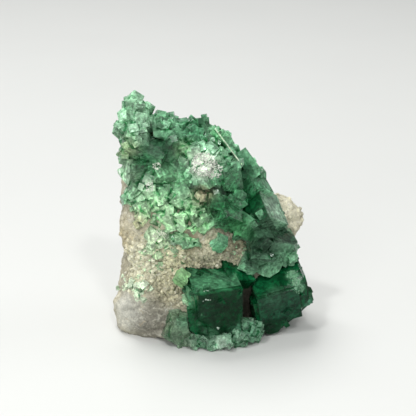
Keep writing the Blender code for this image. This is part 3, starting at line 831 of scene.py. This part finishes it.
def overgrown(source, rock_tree, places, tries, halves, seed):
    """A cluster of crystals with many small cubes grown over it."""
    draw = random.Random(seed)
    plain = flat_faces_joined(source.copy())
    cubes = bmesh.new()
    samples = surface_samples(plain, tries, draw)
    covers = places.at([point for point, _, _ in samples])[:, 4]
    for (point, normal, along), cover in zip(samples, covers):
        if draw.random() < cover and clear_of(rock_tree, point, CUBE_CLEARANCE):
            half = (halves[0] + (halves[1] - halves[0]) * draw.random() ** 2) * MM
            cube_grain(cubes, point, normal, along, half, draw)
    for vert in cubes.verts:
        vert.co.z = max(vert.co.z, 0.0)
    small = mesh_from(cubes, "small_cubes")
    mesh = flat_faces_joined(union(embedded(source.copy(), rock_tree), small))
    return dressed(mesh, places, seed)


def plate(bm, tree, start, end, thickness, depth):
    """Adds a thin plate that stands in the crust, with its long edge seen between two pixels.

    It comes forward until the ground between its ends hides that edge by no more than PLATE_SINK.
    """
    first, last = seen(tree, start), seen(tree, end)
    along = (last - first).normalized()
    ahead = (VIEW_AHEAD - along * VIEW_AHEAD.dot(along)).normalized()
    hidden = 0.0
    for step in range(1, PLATE_STEPS):
        share = step / PLATE_STEPS
        spot = seen(tree, [a + (b - a) * share for a, b in zip(start, end)])
        hidden = max(hidden, (first + (last - first) * share - spot).dot(ahead))
    centre = (first + last) / 2 + ahead * (depth * MM / 2 - max(0.0, hidden - PLATE_SINK))
    turn = Matrix((along, along.cross(ahead), ahead)).transposed().to_4x4()
    sizes = Matrix.Diagonal(((last - first).length, thickness * MM, depth * MM, 1))
    bmesh.ops.create_cube(bm, size=1, matrix=Matrix.Translation(centre) @ turn @ sizes)


def rock_cubes(rock_tree, crystals_tree, rows, seed):
    """Small cubes of fluorite that grew straight on the rock, and the thin plate in the crust."""
    draw = random.Random(seed)
    meshes = [bmesh.new(), bmesh.new()]
    for _, pixel, radius, count, half, _, _ in rows:
        for number, (spot, normal) in enumerate(scattered(rock_tree, pixel, radius, count, draw)):
            size = half * draw.uniform(*LOOSE_SIZES) * MM
            cube_grain(meshes[number % 2], spot, normal, normal.orthogonal(), size, draw, LOOSE_ORDER)
    # Painted highlight: the pale plate stands for the light caught on a thin edge in the crust
    plate(meshes[0], crystals_tree, *PLATE_EDGE)
    joined = union(*[mesh_from(bm, "loose_cubes") for bm in meshes])
    return flat_faces_joined(joined)


def druse_mesh(rock, places, crystals_tree, seed):
    """Quartz grains over the bare face of the rock, and white sugar of quartz on the crust."""
    draw = random.Random(seed)
    bm = bmesh.new()
    tones = []
    area = sum(polygon.area for polygon in rock.polygons) / MM ** 2
    samples = surface_samples(rock, int(area * GRAIN_DENSITY), draw)
    rows = places.at([point for point, _, _ in samples])
    for (point, normal, _), values in zip(samples, rows):
        size = draw.uniform(*GRAIN_RADIUS) * MM
        bare = crystals_tree.find_nearest(point)[3] > size
        front = normal.y < FACING_BACK and point.z > 2 * size
        if front and bare and draw.random() < values[3] / GRAIN_DENSITY:
            before = len(bm.faces)
            quartz_grain(bm, point, normal, size, draw)
            tones += [values[:3] * draw.uniform(*GRAIN_TONES)] * (len(bm.faces) - before)
    for _, pixel, radius, count, colour in SUGAR:
        for spot, normal in scattered(crystals_tree, pixel, radius, count, draw):
            before = len(bm.faces)
            quartz_grain(bm, spot, normal, draw.uniform(*SUGAR_RADIUS) * MM, draw)
            tones += [np.array(linear(colour)) * draw.uniform(*SUGAR_TONES)] * (len(bm.faces) - before)
    mesh = mesh_from(bm, "quartz_druse")
    put_attribute(mesh, "tone", np.clip(tones, 0, 0.95), "FACE")
    put_attribute(mesh, "facet", facet_tones(mesh, seed), "FACE")
    return mesh


def camera():
    """The photograph's camera."""
    data = bpy.data.cameras.new("camera")
    data.sensor_width = SENSOR
    data.lens = FOCAL / PHOTO_SIDE * SENSOR
    data.clip_start = 0.01
    made = bpy.data.objects.new("camera", data)
    made.location = CAMERA_TARGET - VIEW_AHEAD * CAMERA_DISTANCE
    made.rotation_euler = (math.pi / 2 - CAMERA_ELEVATION, 0, 0)
    bpy.context.scene.collection.objects.link(made)
    bpy.context.scene.camera = made


def light(name, place, size, watts):
    """A square soft light that faces the specimen."""
    data = bpy.data.lights.new(name, "AREA")
    data.size = size
    data.energy = watts
    made = bpy.data.objects.new(name, data)
    made.location = place
    towards = LIGHT_TARGET - Vector(place)
    made.rotation_euler = towards.to_track_quat("-Z", "Y").to_euler()
    bpy.context.scene.collection.objects.link(made)


def studio():
    """Floor, soft light and a pale world."""
    bm = bmesh.new()
    bmesh.ops.create_circle(bm, cap_ends=True, segments=96, radius=FLOOR_RADIUS)
    mesh = mesh_from(bm, "floor")
    mesh.materials.append(floor_material())
    floor = bpy.data.objects.new("floor", mesh)
    floor.location.z = -FLOOR_DROP
    bpy.context.scene.collection.objects.link(floor)
    for row in LIGHTS:
        light(*row)
    world = bpy.data.worlds.new("world")
    world.use_nodes = True
    background = world.node_tree.nodes["Background"]
    background.inputs["Color"].default_value = rgba(WORLD_TONE)
    background.inputs["Strength"].default_value = WORLD_STRENGTH
    bpy.context.scene.world = world
    bpy.context.scene.view_settings.view_transform = "Standard"


nodes = {name: node.data for name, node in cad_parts.items()}
whole_tree = tree_of(*nodes.values())
crust_places = Places(whole_tree, CRUST_BASE, CRUST_PLACES, CRUST_FACES)
rock_places = Places(tree_of(nodes["matrix"]), ROCK_BASE, ROCK_PLACES)

stone = rock_mesh(nodes["matrix"])
stone_tree = tree_of(stone)
put_attribute(stone, "tone", rock_places.at(vertex_points(stone))[:, :3])
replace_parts(new_piece("host_rock", stone, rock_material()), "matrix")

crust = overgrown(nodes["crystal_crust"], stone_tree, crust_places, CUBE_TRIES, CUBE_HALF, seed=3)
crust_look = fluorite_material(
    "crust_fluorite", facets=(0.80, 1.75), shards=0.30, rim_highlight_share=0.45, sugar_share=0.6,
    roughness=(0.05, 0.22), absorbed=((0.10, 0.84, 0.50), 420.0), mirror=0.24, clear=0.75
)
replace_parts(new_piece("fluorite_crust", crust, crust_look), "crystal_crust")

crystals_tree = tree_of(crust, *[mesh for name, mesh in nodes.items() if name != "matrix"])
druse = druse_mesh(stone, rock_places, crystals_tree, seed=7)
new_piece("quartz_druse", druse, quartz_material())

pale_look = fluorite_material(
    "pale_fluorite", facets=(0.85, 1.5), shards=0.22, rim_highlight_share=0.45, sugar_share=0.7,
    roughness=(0.06, 0.28), absorbed=((0.36, 0.88, 0.64), 300.0), mirror=0.22, clear=0.90
)
cube_places = Places(stone_tree, LOOSE_BASE, [(*row[:3], *row[5:]) for row in ROCK_CUBES])
loose = dressed(rock_cubes(stone_tree, crystals_tree, ROCK_CUBES, seed=5), cube_places, seed=6)
new_piece("loose_cubes", loose, pale_look)

dark_look = fluorite_material(
    "dark_fluorite", facets=(0.85, 1.3), shards=0.30, rim_highlight_share=0.30, sugar_share=0.3,
    roughness=(0.04, 0.20), absorbed=((0.02, 0.80, 0.46), 520.0), mirror=0.12, clear=0.50, cloud_size=2.6
)
large_places = Places(whole_tree, LARGE_BASE, LARGE_PLACES, LARGE_FACES)
for name, seed in LARGE_CRYSTALS:
    mesh = overgrown(nodes[name], stone_tree, large_places, CHIP_TRIES, CHIP_HALF, seed)
    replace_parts(new_piece(name + "_worn", mesh, dark_look), name)

for name, base, rows, seed in SMALL_CRYSTALS:
    mesh = overgrown(nodes[name], stone_tree, Places(whole_tree, base, rows), CHIP_TRIES, CHIP_HALF, seed)
    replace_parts(new_piece(name + "_worn", mesh, pale_look), name)

camera()
studio()
bpy.context.scene.cycles.use_denoising = True
